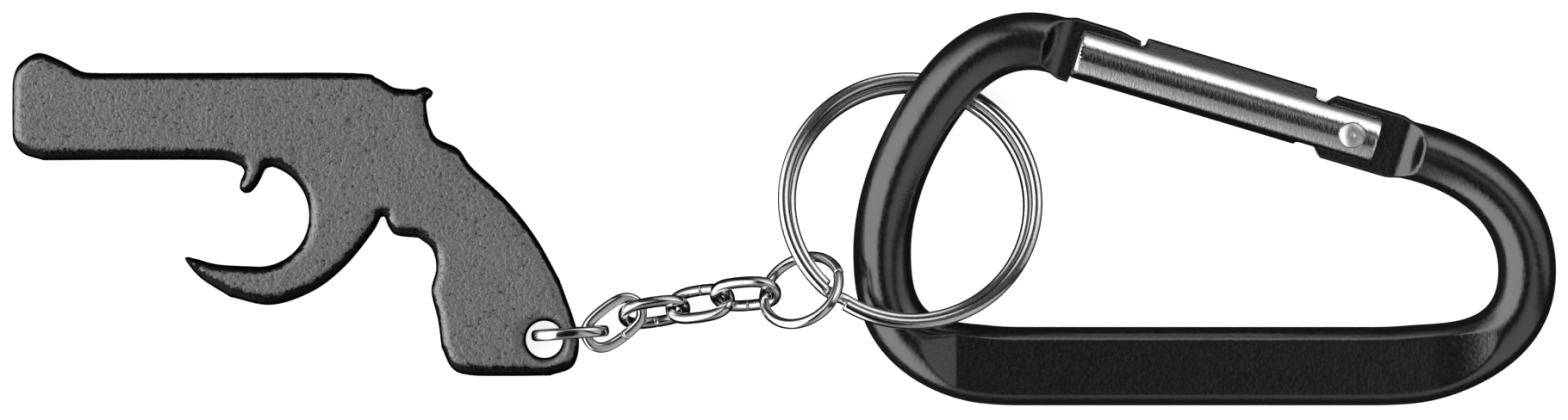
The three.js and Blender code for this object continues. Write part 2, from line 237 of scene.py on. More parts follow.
def with_bevels(wide, tall, centres, along, side, bevel):
    """Adds shrinking sections at both ends, so that a cut wire end has a worn edge."""
    shrink = np.array([0.35, 0.7, 0.93])
    advance = bevel * np.array([1.0, 0.85, 0.4])
    start = [centres[0] - along[0] * a for a in advance]
    end = [centres[-1] + along[-1] * a for a in advance[::-1]]
    centres = np.vstack([start, centres, end])
    wide = np.concatenate([wide[0] * shrink, wide, wide[-1] * shrink[::-1]])
    tall = np.concatenate([tall[0] * shrink, tall, tall[-1] * shrink[::-1]])
    along = np.vstack([along[:1]] * 3 + [along] + [along[-1:]] * 3)
    side = np.vstack([side[:1]] * 3 + [side] + [side[-1:]] * 3)
    return wide, tall, centres, along, side


def ring_faces(rings, sides, closed):
    faces = []
    for i in range(rings if closed else rings - 1):
        k = (i + 1) % rings
        for j in range(sides):
            n = (j + 1) % sides
            faces.append((i * sides + j, i * sides + n, k * sides + n, k * sides + j))
    if not closed:
        faces.append(tuple(range(sides - 1, -1, -1)))
        faces.append(tuple(range((rings - 1) * sides, rings * sides)))
    return faces


# ---- sheets cut from an outline ----

def dense(loop, spacing):
    """The closed outline with points no further apart than spacing."""
    points = []
    for a, b in zip(loop, np.roll(loop, -1, axis=0)):
        steps = max(1, math.ceil(np.linalg.norm(b - a) / spacing))
        points.extend(a + (b - a) * k / steps for k in range(steps))
    return np.array(points)


def rounded(corners):
    """A closed outline from corners (x, y, radius), each rounded with an arc."""
    points = []
    count = len(corners)
    for i, (x, y, radius) in enumerate(corners):
        corner = np.array([x, y])
        before = np.array(corners[i - 1][:2]) - corner
        after = np.array(corners[(i + 1) % count][:2]) - corner
        before_len, after_len = np.linalg.norm(before), np.linalg.norm(after)
        before, after = before / before_len, after / after_len
        half = math.acos(np.clip(before @ after, -1, 1)) / 2
        if radius == 0:
            points.append(corner)
            continue
        reach = min(radius / math.tan(half), before_len * 0.49, after_len * 0.49)
        radius = reach * math.tan(half)
        centre = corner + (before + after) / np.linalg.norm(before + after) * radius / math.sin(half)
        first, last = corner + before * reach - centre, corner + after * reach - centre
        sweep = math.atan2(first[0] * last[1] - first[1] * last[0], first @ last)
        for t in np.linspace(0, 1, 7):
            turn = rotation(heading=sweep * t)[:2, :2]
            points.append(centre + turn @ first)
    return np.array(points)


def catmull(points, steps):
    """Smooth curve through the points, starting and ending at its first and last."""
    p = np.array(points, float)
    p = np.vstack([2 * p[0] - p[1], p, 2 * p[-1] - p[-2]])
    curve = []
    for i in range(1, len(p) - 2):
        for t in np.linspace(0, 1, steps, endpoint=False):
            a, b, c, d = p[i - 1:i + 3]
            square, cube = 2 * a - 5 * b + 4 * c - d, 3 * b - a - 3 * c + d
            curve.append(0.5 * (2 * b + (c - a) * t + square * t * t + cube * t ** 3))
    curve.append(p[-2])
    return np.array(curve)


def distances(points, loops):
    """Distance from each point to the nearest outline."""
    best = np.full(len(points), np.inf)
    for loop in loops:
        for a, b in zip(loop, np.roll(loop, -1, axis=0)):
            edge = b - a
            length = edge @ edge
            t = np.clip((points - a) @ edge / length, 0, 1) if length > 0 else np.zeros(len(points))
            best = np.minimum(best, np.linalg.norm(points - a - t[:, None] * edge, axis=1))
    return best


def inside(points, loops):
    """Whether each point lies inside the outline and outside its holes."""
    odd = np.zeros(len(points), bool)
    x, y = points[:, 0], points[:, 1]
    for loop in loops:
        for (x0, y0), (x1, y1) in zip(loop, np.roll(loop, -1, axis=0)):
            if y0 == y1:
                continue
            crosses = (y0 > y) != (y1 > y)
            odd ^= crosses & (x < (x1 - x0) * (y - y0) / (y1 - y0) + x0)
    return odd


def inward(loop):
    """Unit normals that point into the material, for an outline that runs with it on its left."""
    along = np.roll(loop, -1, axis=0) - np.roll(loop, 1, axis=0)
    along /= np.linalg.norm(along, axis=1)[:, None]
    return np.stack([-along[:, 1], along[:, 0]], axis=1)


def cut_sheet(loops, half, round_wide, round_tall, edge_step, face_step):
    """A flat sheet with rounded edges. Its outer outline runs anticlockwise and its holes clockwise.

    Returns the points (x, y, height), the faces, and each point's distance from the edge.
    """
    loops = [dense(loop, edge_step) for loop in loops]
    rows = round_wide * (1 - np.cos(np.linspace(0, math.pi / 2, 7)[1:]))
    near = [
        (loop + inward(loop) * row)[::1 + (k > 3)]
        for loop in loops
        for k, row in enumerate(rows)
    ]
    row_of = np.concatenate([
        np.full(len(points), row)
        for points, row in zip(near, list(rows) * len(loops))
    ])
    near = np.vstack(near)
    near = near[inside(near, loops) & (distances(near, loops) > row_of * 0.94)]
    low, high = loops[0].min(axis=0), loops[0].max(axis=0)
    columns = np.arange(low[0], high[0], face_step)
    lines = np.arange(low[1], high[1], face_step * math.sqrt(0.75))
    grid = np.array([
        (x + face_step * 0.5 * (k % 2), y)
        for k, y in enumerate(lines)
        for x in columns
    ])
    grid = grid[inside(grid, loops)]
    grid = grid[distances(grid, loops) > round_wide + face_step * 0.5]
    flat = np.vstack([*loops, near, grid])
    rim_count = sum(len(loop) for loop in loops)
    rim_edges = []
    start = 0
    for loop in loops:
        rim_edges += [(start + i, start + (i + 1) % len(loop)) for i in range(len(loop))]
        start += len(loop)
    found = delaunay_2d_cdt([Vector(p) for p in flat], rim_edges, [], 1, 1e-5)
    if len(found[0]) != len(flat):
        raise ValueError("the outline touches itself")
    triangles = np.array(found[2])
    corners = flat[triangles]
    triangles = triangles[inside(corners.mean(axis=1), loops)]
    corners = flat[triangles]
    area = np.cross(corners[:, 1] - corners[:, 0], corners[:, 2] - corners[:, 0])
    triangles[area < 0] = triangles[area < 0][:, ::-1]
    depth = distances(flat, loops)
    depth[:rim_count] = 0
    share = np.clip(1 - depth / round_wide, 0, 1)
    height = half - round_tall * (1 - np.sqrt(1 - share ** 2))
    top = np.column_stack([flat, height])
    bottom = np.column_stack([flat, -height])
    count = len(flat)
    faces = [tuple(t) for t in triangles.tolist()]
    faces += [(a + count, c + count, b + count) for a, b, c in triangles.tolist()]
    faces += [(b, a, a + count, b + count) for a, b in rim_edges]
    return np.vstack([top, bottom]), faces, np.concatenate([depth, depth])


# ---- uneven surfaces ----

def lumps(points, size, seed):
    """Smooth noise between -1 and 1 with the given lump size, from a sum of random waves."""
    random = np.random.default_rng(seed)
    total = np.zeros(len(points))
    waves = 24
    for _ in range(waves):
        direction = random.normal(size=points.shape[1])
        direction /= np.linalg.norm(direction)
        length = size * random.uniform(0.7, 1.6)
        total += np.sin(points @ direction * 2 * math.pi / length + random.uniform(0, 2 * math.pi))
    return total / math.sqrt(waves)


def dents(points, count, box, radius, depth, seed):
    """Depth of shallow knocks scattered over a box."""
    random = np.random.default_rng(seed)
    total = np.zeros(len(points))
    for _ in range(count):
        centre = random.uniform(box[0], box[1])
        reach = random.uniform(*radius)
        turn = random.uniform(0, math.pi)
        stretch = random.uniform(1, 2.6)
        away = points[:, :2] - centre
        u = away[:, 0] * math.cos(turn) + away[:, 1] * math.sin(turn)
        v = away[:, 1] * math.cos(turn) - away[:, 0] * math.sin(turn)
        total += random.uniform(*depth) * np.exp(-((u / stretch) ** 2 + v ** 2) / reach ** 2)
    return total


# ---- materials ----

class Finish:
    """A metal finish: one Principled shader with noise in its colour, roughness and bump."""

    def __init__(self, name, metallic, specular=0.5):
        self.material = bpy.data.materials.new(name)
        self.material.use_nodes = True
        self.nodes = self.material.node_tree.nodes
        self.links = self.material.node_tree.links
        self.shader = self.nodes["Principled BSDF"]
        self.shader.inputs["Metallic"].default_value = metallic
        self.shader.inputs["Specular IOR Level"].default_value = specular
        self.place = self.nodes.new("ShaderNodeTexCoord").outputs["Object"]
        self.height = None

    def noise(self, scale, detail=3.0, roughness=0.55, stretch=None, turn=0.0):
        """Noise with the given number of lumps for each metre, stretched and turned if asked."""
        place = self.place
        if stretch:
            mapping = self.nodes.new("ShaderNodeMapping")
            mapping.inputs["Scale"].default_value = stretch
            mapping.inputs["Rotation"].default_value = (0, 0, turn)
            self.links.new(place, mapping.inputs["Vector"])
            place = mapping.outputs["Vector"]
        node = self.nodes.new("ShaderNodeTexNoise")
        node.inputs["Scale"].default_value = scale
        node.inputs["Detail"].default_value = detail
        node.inputs["Roughness"].default_value = roughness
        self.links.new(place, node.inputs["Vector"])
        return node.outputs["Fac"]

    def pits(self, scale, low, high):
        """Small round pits: 1 in their middle and 0 outside."""
        node = self.nodes.new("ShaderNodeTexVoronoi")
        node.inputs["Scale"].default_value = scale
        self.links.new(self.place, node.inputs["Vector"])
        return self.remap(node.outputs["Distance"], low, high, 1, 0)

    def remap(self, value, from_low, from_high, to_low, to_high, smooth=True):
        node = self.nodes.new("ShaderNodeMapRange")
        node.interpolation_type = "SMOOTHSTEP" if smooth else "LINEAR"
        for socket, number in zip(("From Min", "From Max", "To Min", "To Max"),
                                  (from_low, from_high, to_low, to_high)):
            node.inputs[socket].default_value = number
        self.links.new(value, node.inputs["Value"])
        return node.outputs["Result"]

    def math(self, operation, a, b):
        node = self.nodes.new("ShaderNodeMath")
        node.operation = operation
        for socket, value in zip(node.inputs, (a, b)):
            if isinstance(value, (int, float)):
                socket.default_value = value
            else:
                self.links.new(value, socket)
        return node.outputs["Value"]

    def attribute(self, name):
        node = self.nodes.new("ShaderNodeAttribute")
        node.attribute_name = name
        return node.outputs["Fac"]

    def blend(self, share, first, second):
        """Colour from first to second by share. Each is a colour or a node's output."""
        node = self.nodes.new("ShaderNodeMix")
        node.data_type = "RGBA"
        self.links.new(share, node.inputs["Factor"])
        for socket, colour in ((node.inputs[6], first), (node.inputs[7], second)):
            if isinstance(colour, tuple):
                socket.default_value = (*colour, 1)
            else:
                self.links.new(colour, socket)
        return node.outputs[2]

    def bump(self, height, distance, strength=1.0):
        """Adds a layer of bump whose full height is distance, in millimetres."""
        node = self.nodes.new("ShaderNodeBump")
        node.inputs["Distance"].default_value = distance * MM
        node.inputs["Strength"].default_value = strength
        self.links.new(height, node.inputs["Height"])
        if self.height is not None:
            self.links.new(self.height, node.inputs["Normal"])
        self.height = node.outputs["Normal"]

    def done(self, colour, roughness):
        self.links.new(colour, self.shader.inputs["Base Color"])
        self.links.new(roughness, self.shader.inputs["Roughness"])
        if self.height is not None:
            self.links.new(self.height, self.shader.inputs["Normal"])
        return self.material


def opener_finish():
    """Cast metal, plated black and tumbled: satin and pitted on the faces, blacker on the rounded edges,
    partly from black plating and partly as painted shade.
    """
    f = Finish("opener_metal", metallic=1.0)
    grain = f.noise(2300, detail=4, roughness=0.6)
    fine = f.noise(5200, detail=2, stretch=(0.6, 1.3, 1), turn=math.radians(-38))
    patches = f.noise(160, detail=2)
    # painted shade: the rounded edges are blended towards black, partly for the black plating and partly as
    # shade painted onto them
    edge = f.math("ADD", f.attribute("plating_and_edge_shade"), f.math("MULTIPLY", f.math("SUBTRACT", grain, 0.5), 1.3))
    plating_and_edge_shade = f.remap(edge, 0.15, 0.7, 0, 1)
    face = f.blend(patches, (0.22, 0.22, 0.22), (0.255, 0.255, 0.255))
    pitted = f.remap(grain, 0.32, 0.44, 1, 0)
    speckled = f.blend(pitted, face, (0.07, 0.07, 0.07))
    colour = f.blend(plating_and_edge_shade, speckled, (0.012, 0.012, 0.013))
    worn = f.remap(fine, 0.35, 0.7, 0.34, 0.5)
    roughness = f.math("SUBTRACT", worn, f.math("MULTIPLY", plating_and_edge_shade, 0.14))
    f.bump(grain, 0.1, 1.0)
    f.bump(fine, 0.05, 0.9)
    f.bump(f.pits(1100, 0.0, 0.3), 0.04, 0.5)
    return f.done(colour, roughness)


def carabiner_finish():
    """Black anodised aluminium: glossy, with the fine drawn texture of the bar."""
    f = Finish("carabiner_metal", metallic=0.93)
    cloud = f.noise(300, detail=3)
    speckle = f.noise(2400, detail=4, roughness=0.65)
    colour = f.blend(cloud, (0.098, 0.098, 0.100), (0.118, 0.118, 0.120))
    roughness = f.remap(speckle, 0.3, 0.7, 0.1, 0.22)
    f.bump(speckle, 0.028, 0.9)
    f.bump(cloud, 0.04, 0.5)
    f.bump(f.pits(260, 0.0, 0.07), 0.03, 0.5)
    return f.done(colour, roughness)


def nickel_finish():
    """Bright nickel plate with fine marks over the wires; the sheet is coarser and the rivet frosted."""
    f = Finish("nickel", metallic=1.0)
    cloud = f.noise(500, detail=3)
    marks = f.noise(3000, detail=3, roughness=0.6)
    coarse = f.noise(2600, detail=4, roughness=0.65, stretch=(1.5, 0.6, 1), turn=-GATE_TURN)
    # painted shade: the wires get a darker copy of the nickel colour than the gate sheet, standing in for the
    # dark reflections along the chain and rings
    wire = f.blend(cloud, (0.58, 0.58, 0.575), (0.7, 0.7, 0.695))
    sheet = f.blend(cloud, (0.68, 0.68, 0.675), (0.8, 0.8, 0.79))
    colour = f.blend(f.attribute("rolled"), wire, sheet)
    polish = f.remap(marks, 0.3, 0.75, 0.07, 0.15)
    roughness = f.math("ADD", polish, f.math("MULTIPLY", f.attribute("frosted"), 0.27))
    f.bump(marks, 0.01, 0.5)
    f.bump(cloud, 0.02, 0.4)
    f.bump(f.math("MULTIPLY", coarse, f.attribute("rolled")), 0.02, 1.0)
    return f.done(colour, roughness)


def spring_finish():
    f = Finish("spring_steel", metallic=1.0)
    cloud = f.noise(900, detail=3)
    colour = f.blend(cloud, (0.32, 0.32, 0.33), (0.48, 0.48, 0.49))
    roughness = f.remap(cloud, 0.3, 0.7, 0.28, 0.42)
    f.bump(cloud, 0.01, 0.4)
    return f.done(colour, roughness)


# ---- opener plate ----

def plate_outline():
    """The opener's outline, anticlockwise, from the muzzle's lower end."""
    mx, my = MOUTH_CENTRE
    arc_from, arc_to = math.radians(-90), math.radians(74)
    mouth = [
        (mx + MOUTH_RADIUS * math.cos(a), my + MOUTH_RADIUS * math.sin(a))
        for a in np.linspace(arc_from, arc_to, 40)
    ]
    parts = [
        # muzzle end and front sight
        catmull([(3.6, 0), (1.3, 0.75), (0.15, 2.3), (0, 4.2)], 8),
        catmull([
            (0, 4.2), (0, 6.8), (0.1, 9.4), (0.9, 11.1),
            (3.0, 12.3), (5.6, 11.4), (7.9, 10.2), (9.9, BARREL_TOP),
        ], 8),
        # top strap, rear sight and hammer
        catmull([
            (9.9, BARREL_TOP), (24, 10.02), (39.0, BARREL_TOP), (41.7, 9.4), (43.6, 8.35), (46.0, 8.1),
        ], 8),
        catmull([(46.0, 8.1), (47.15, 8.4), (48.0, 7.9), (47.9, 7.3), (47.3, 6.5), (47.6, 4.1)], 8),
        # back strap, down to the butt
        catmull([
            (47.6, 4.1), (48.5, 2.55), (50.9, 1.35), (52.5, -0.8), (56.5, -4.6), (59.8, -8.8), (62.5, -13.6),
        ], 8),
        catmull([(62.5, -13.6), (64.3, -18.7), (64.7, -21.3), (63.9, -23.6), (61.4, -24.55)], 8),
        catmull([(61.4, -24.55), (56.7, -24.6), (52.2, -24.5), (50.2, -23.7), (49.0, -21.3)], 8),
        # front of the grip
        catmull([
            (49.0, -21.3), (48.6, -18.2), (47.85, -14.9), (48.4, -12.3), (47.9, -10.1), (46.4, -8.85),
        ], 8),
        catmull([(46.4, -8.85), (43.9, -8.55), (43.0, -7.6), (42.55, -6.5), (42.1, -6.5)], 8),
        # outside of the lifting claw
        catmull([(42.1, -6.5), (41.1, -8.3), (38.1, -12.0), (34.4, -14.9), (29.6, -16.5), (24.9, -15.6)], 8),
        catmull([
            (24.9, -15.6), (21.6, -13.5), (19.85, -11.5), (19.95, -11.0),
            (21.0, -11.2), (23.6, -11.85), (mx, my - MOUTH_RADIUS),
        ], 8),
        np.array(mouth),
        # trigger
        catmull([mouth[-1], (28.95, -1.0), (28.45, -2.0), (27.9, -2.95), (27.2, -3.65), (26.5, -3.75)], 8),
        catmull([(26.5, -3.75), (26.0, -3.2), (26.1, -2.3), (26.5, -1.3), (26.2, -0.7)], 8),
        # underside of the barrel
        catmull([(26.2, -0.7), (24.8, -0.15), (22.6, 0.05), (12.0, 0.05), (3.6, 0)], 8),
    ]
    points = np.vstack(parts)
    keep = np.linalg.norm(points - np.roll(points, -1, axis=0), axis=1) > 0.02
    return points[keep][::-1]


def plating_and_shade_reach(flat, depth):
    """How far in from the edge the black band reaches, black plating and painted shade: far on the long
    edges, furthest on those facing -y away from the bright side, little on the two ends.
    """
    nudge = 0.05
    loops = [dense(plate_outline(), 0.5)]
    tilt = distances(flat + (0, nudge), loops) - distances(flat - (0, nudge), loops)
    facing = np.clip(-tilt / (2 * nudge), -1, 1)
    # painted shade: edges facing -y, away from the bright side, get a wider dark band than edges facing +y
    reach = 0.35 + np.where(facing > 0, 0.75 * facing, -1.35 * facing)
    from_hole = np.linalg.norm(flat - HOLE_CENTRE, axis=1) - HOLE_RADIUS
    return np.where(from_hole < depth + 0.01, 0.35, reach)


def opener_plate(material):
    angle = np.linspace(0, -2 * math.pi, 64, endpoint=False)
    hole = np.array(HOLE_CENTRE) + HOLE_RADIUS * np.column_stack([np.cos(angle), np.sin(angle)])
    points, faces, depth = cut_sheet(
        [plate_outline(), hole],
        half=PLATE_THICK / 2,
        round_wide=PLATE_ROUND,
        round_tall=PLATE_ROUND,
        edge_step=0.28,
        face_step=0.3,
    )
    upper = points[:, 2] >= 0
    skin = smoothstep(0, PLATE_ROUND, depth)
    relief = 0.005 * lumps(points[:, :2] + 40 * upper[:, None], 1.3, SEED)
    relief += 0.008 * lumps(points[:, :2] + 40 * upper[:, None], 4.5, SEED + 1)
    box = (points[:, :2].min(axis=0), points[:, :2].max(axis=0))
    knocks = dents(points, 90, box, (0.25, 0.6), (0.01, 0.035), SEED + 2)
    inset = np.clip(0.03 + relief * skin + knocks * (0.4 + 0.6 * skin), 0, 0.2)
    points[:, 2] -= np.sign(points[:, 2]) * inset
    points[:, 2] += PLATE_THICK / 2
    placed = put(points, rotation(pitch=-PLATE_SLOPE), PLATE_PLACE)
    piece = add_piece("opener_casting", placed, faces, material, "opener", "opener_plate", "opener_metal")
    uneven = 0.07 * lumps(points[:, :2], 1.6, SEED + 3)
    # painted shade: this attribute blackens the rounded edges, partly black plating and partly shade, and the
    # band is wider on edges facing away from the bright side
    reach = plating_and_shade_reach(points[:, :2], depth)
    store(piece, "plating_and_edge_shade", 1 - smoothstep(reach * 0.3, reach * 1.1, depth + uneven * smoothstep(0, 0.4, depth)))
    return piece


# ---- chain and rings ----

def chain_link(number, material):
    centre, heading, pitch, roll = LINK_POSES[number - 1]
    length, width, wire = END_LINK if number == 1 else LINK
    radius = width / 2 - wire
    straight = length / 2 - wire - radius
    # the wire's two ends meet in the middle of the long side that lies lower
    seam = 0.75 if roll > 0 else 0.25
    gap = 0.0012
    t = np.linspace(seam + gap, seam + 1 - gap, 161)
    angle = 2 * math.pi * t
    run = straight * np.tanh(LINK_OVAL * np.cos(angle)) / math.tanh(LINK_OVAL)
    path = np.column_stack([radius * np.cos(angle) + run, radius * np.sin(angle), np.zeros(len(t))])
    points, faces = tube(path, (0, 0, 1), wire, wire, 32, bevel=0.05, square=2.8)
    turn = rotation(math.radians(roll), -math.radians(pitch), math.radians(heading))
    placed = put(points, turn, centre)
    body, node = f"link_{number}", f"chain_link_{number}"
    return add_piece(f"{body}_wire", placed, faces, material, body, node, "nickel")


def turn_onto(normal):
    """The shortest rotation that takes +Z onto the normal."""
    target = Vector(normal).normalized()
    return np.array(Vector((0, 0, 1)).rotation_difference(target).to_matrix())


def jump_ring(material):
    t = np.linspace(0, 1, 221)
    angle = JUMP_START + JUMP_TURN * t
    path = np.column_stack([JUMP_RADIUS * np.cos(angle), JUMP_RADIUS * np.sin(angle), JUMP_RISE * (t - 0.5)])
    points, faces = tube(path, (0, 0, 1), JUMP_WIRE, JUMP_WIRE, 28, bevel=0.08)
    placed = put(points, turn_onto(JUMP_NORMAL), JUMP_CENTRE)
    return add_piece("jump_ring_wire", placed, faces, material, "jump_ring", "jump_ring", "nickel")


def split_ring(material):
    """One wire in two turns, which steps inward and down by one wire between them."""
    angle = np.linspace(SPLIT_START, SPLIT_END, 720)
    step = smoothstep(*SPLIT_STEP, angle)
    radius = SPLIT_OUTER_RADIUS + (SPLIT_INNER_RADIUS - SPLIT_OUTER_RADIUS) * step
    layer = SPLIT_LAYER * (1 - 2 * step)
    path = np.column_stack([radius * np.cos(angle), radius * np.sin(angle), layer])
    points, faces = tube(path, (0, 0, 1), SPLIT_WIRE, SPLIT_WIRE, 32, bevel=0.1, square=2.5)
    points = put(points, rotation(heading=-SPLIT_HEADING), (0, 0, 0))
    placed = put(points, rotation(roll=-SPLIT_TILT, heading=SPLIT_HEADING), SPLIT_CENTRE)
    return add_piece("split_ring_wire", placed, faces, material, "split_ring", "split_ring", "nickel")


# ---- carabiner ----

def bezier(a, b, c, d, steps=120):
    t = np.linspace(0, 1, steps, endpoint=False)[:, None]
    a, b, c, d = (np.array(p, float) for p in (a, b, c, d))
    return (1 - t) ** 3 * a + 3 * (1 - t) ** 2 * t * b + 3 * (1 - t) * t * t * c + t ** 3 * d


def on_gate(x):
    return tuple(in_gate_frame(np.array([[x, 0, 0]]))[0][:2])


def bar_line(step):
    """Centre line of the bar from nose tongue to hinge tongue, in even steps, with its joins eased."""
    shoulder, hinge_shoulder = on_gate(NOSE_FROM), on_gate(HINGE_SHOULDER)
    nose_end = RIVET_AT - NOSE_SWING - TONGUE_BEVEL
    hinge_end = RIVET_AT - HINGE_SWING + TONGUE_BEVEL
    line = np.vstack([
        np.linspace(on_gate(nose_end), shoulder, 40, endpoint=False),
        bezier(shoulder, (-20.6, 38.5), (-25.5, 36.0), (-28.6, 31.9)),
        bezier((-28.6, 31.9), (-31.6, 28.3), (-36.0, 20.6), (-35.9, 12.8)),
        bezier((-35.9, 12.8), (-35.8, 7.4), (-35.1, 0.15), (-20.6, 0)),
        np.linspace((-20.6, 0), (20.6, 0), 200, endpoint=False),
        bezier((20.6, 0), (32.4, 0.15), (37.5, 4.0), (37.5, 10.8)),
        bezier((37.5, 10.8), (37.5, 18.2), (31.6, 23.1), hinge_shoulder),
        np.linspace(hinge_shoulder, on_gate(hinge_end), 50),
    ])
    reach = np.concatenate([[0], np.cumsum(np.linalg.norm(np.diff(line, axis=0), axis=1))])
    even = np.arange(0, reach[-1], step)
    line = np.column_stack([np.interp(even, reach, line[:, k]) for k in (0, 1)])
    ease = 2 * int(1.6 / step) + 1
    window = np.hanning(ease + 2)[1:-1]
    window /= window.sum()
    pad = ease // 2
    before = line[0] + (line[0] - line[1]) * np.arange(pad, 0, -1)[:, None]
    after = line[-1] + (line[-1] - line[-2]) * np.arange(1, pad + 1)[:, None]
    long_line = np.vstack([before, line, after])
    return np.column_stack([np.convolve(long_line[:, k], window, "valid") for k in (0, 1)])


def milled(offset, radius):
    """Height above the flat at an offset past its end, where the cutter leaves a round corner."""
    offset = np.clip(offset, 0, radius * 0.999)
    return radius - np.sqrt(radius ** 2 - offset ** 2)


def soft_limit(value, limit, blend):
    """value kept below limit, turning over smoothly within blend."""
    return limit - blend * np.logaddexp(0, (limit - value) / blend)


def carabiner_body(material):
    step = 0.24
    line = bar_line(step)
    x, y = line[:, 0], line[:, 1]
    centres = np.column_stack([x, y, 0 * x])
    gate_x, gate_y, _ = to_gate_frame(centres).T
    on_tongue = np.abs(gate_y) < TONGUE_BAND
    nose = on_tongue & (gate_x < 10)
    hinge = on_tongue & (gate_x > 25)
    flattened = smoothstep(*SPINE_RUN_IN, x) * (1 - smoothstep(*SPINE_RUN_OUT, x))
    spine = np.where(y < SPINE_BELOW, flattened, 0)
    wide = BAR_RADIUS + (SPINE_HALF_WIDTH - BAR_RADIUS) * spine
    pressed = np.where(nose, smoothstep(*NOSE_FLARE, gate_x), 0)
    pressed = pressed + np.where(hinge, 1 - smoothstep(*HINGE_FLARE, gate_x), 0)
    wide = wide + (TONGUE_HALF_WIDTH - BAR_RADIUS) * pressed
    wide = wide - np.where(nose, NOSE_TAPER * smoothstep(*NOSE_NARROWS, gate_x), 0)
    sides = 144
    points, faces = tube(centres, (0, 0, 1), wide, BAR_RADIUS, sides, bevel=TONGUE_BEVEL)
    # each cap is a strip of quads across the bar, because it is bent to an arc below
    caps = [(j, j + 1, (sides - j - 1) % sides, (sides - j) % sides) for j in range(1, sides // 2 - 1)]
    first = [(0, 1, sides - 1)] + caps + [(sides // 2 - 1, sides // 2, sides // 2 + 1)]
    last_ring = len(points) - sides
    last = [tuple(k + last_ring for k in face) for face in first]
    faces = faces[:-2] + [face[::-1] for face in first] + last
    local = to_gate_frame(points)
    lx, ly = local[:, 0], local[:, 1]
    near_nose = (np.abs(ly) < 6) & (lx > -8) & (lx < 9) & (points[:, 0] > -26)
    near_hinge = (np.abs(ly) < 6) & (lx > 26) & (lx < 46) & (points[:, 0] < 31)
    unlimited = 9.0
    limit = np.full(len(points), unlimited)
    low = points[:, 1] < SPINE_BELOW
    ramp = np.maximum(SPINE_RAMP_FROM - points[:, 0], 0) / SPINE_RAMP
    roll = np.maximum(points[:, 0] - SPINE_ROLL_FROM, 0) ** 2 / SPINE_ROLL
    limit[low] = SPINE_HALF_THICK + (ramp + roll)[low]
    for chosen, past in ((near_nose, NOSE_FROM - lx), (near_hinge, lx - HINGE_TO)):
        off_shoulder = np.where(past > SHOULDER_ROUND * 0.99, unlimited, 0)
        tongue_limit = TONGUE_HALF_THICK + milled(past, SHOULDER_ROUND) + off_shoulder
        limit = np.where(chosen, np.minimum(limit, tongue_limit), limit)
    height = np.abs(points[:, 2])
    points[:, 2] = np.sign(points[:, 2]) * soft_limit(height, limit, 0.05)
    # the nose tongue is narrower where the gate's inner wall closes over it
    relief_from, relief_below = NOSE_RELIEF
    relief = near_nose & (lx > relief_from) & (ly < relief_below)
    local[relief, 1] = relief_below
    # both tongues end in an arc about the rivet
    tips = (
        (near_nose, NOSE_SWING, (lx - 3) / (RIVET_AT - NOSE_SWING - 3)),
        (near_hinge & (lx < RIVET_AT), HINGE_SWING, (31 - lx) / (31 - RIVET_AT + HINGE_SWING)),
    )
    for chosen, swing, share in tips:
        bend = swing - np.sqrt(swing ** 2 - np.clip(local[:, 1], -4, 4) ** 2)
        local[chosen, 0] += (bend * np.clip(share, 0, 1))[chosen]
    near = near_nose | near_hinge
    points[near, :2] = in_gate_frame(local)[near, :2]
    placed = in_carabiner(points)
    names = ("carabiner", "carabiner_body", "carabiner_metal")
    return add_piece("carabiner_bar", placed, faces, material, *names)


# ---- gate ----

def sleeve_outline():
    """The sleeve's sheet laid flat: x along the gate, y round it from its inner side, as arc length."""
    middle = (GATE_RADIUS + GATE_BORE) / 2
    seam = math.pi * middle - 0.05
    past = 1 - OUTER_SLOT_HALF / (GATE_RADIUS * math.cos(CREST_FROM))
    ear = (math.pi / 2 + CREST_FROM + (math.pi / 2 - CREST_FROM) * past) * middle
    inner = math.asin(INNER_SLOT_HALF / GATE_RADIUS) * middle
    upper = [
        (GATE_LENGTH, inner, 0.8),
        (GATE_LENGTH, ear, 0.8),
        (HINGE_SLOT, ear, 0.4),
        (HINGE_SLOT, seam, 0.3),
        (NOSE_SLOT, seam, 0.3),
        (NOSE_SLOT, ear, 0.4),
        (0, ear, 0.5),
    ]
    lower = [(x, -y, r) for x, y, r in reversed(upper)]
    return rounded([*upper, *lower, (INNER_SLOT, -inner, 0.5), (INNER_SLOT, inner, 0.5)])


def gate_sleeve(material):
    middle = (GATE_RADIUS + GATE_BORE) / 2
    angle = np.linspace(0, -2 * math.pi, 40, endpoint=False)
    ring = RIVET_HOLE * np.column_stack([np.cos(angle), np.sin(angle)])
    holes = [ring + (RIVET_AT, side * math.pi / 2 * middle) for side in (1, -1)]
    half = (GATE_RADIUS - GATE_BORE) / 2
    flat, faces, _ = cut_sheet(
        [sleeve_outline(), *holes],
        half=half,
        round_wide=0.16,
        round_tall=0.2,
        edge_step=0.2,
        face_step=0.32,
    )
    round_it = flat[:, 1] / middle
    radius = middle + flat[:, 2]
    y = -radius * np.cos(round_it)
    z = radius * np.sin(round_it)
    # the outer side runs on along two tangents to a crest
    past = np.abs(round_it) - math.pi / 2 - CREST_FROM
    run = past / math.tan(CREST_FROM) / (math.pi / 2 - CREST_FROM)
    crest_sin, crest_cos = math.sin(CREST_FROM), math.cos(CREST_FROM)
    y = np.where(past > 0, radius * (crest_sin + run * crest_cos), y)
    z = np.where(past > 0, np.sign(round_it) * radius * (crest_cos - run * crest_sin), z)
    rolled = np.column_stack([flat[:, 0], y, z])
    placed = in_carabiner(in_gate_frame(rolled))
    piece = add_piece("gate_sheet", placed, faces, material, "gate", "gate_sleeve", "nickel")
    store(piece, "rolled", np.ones(len(placed)))
    return piece


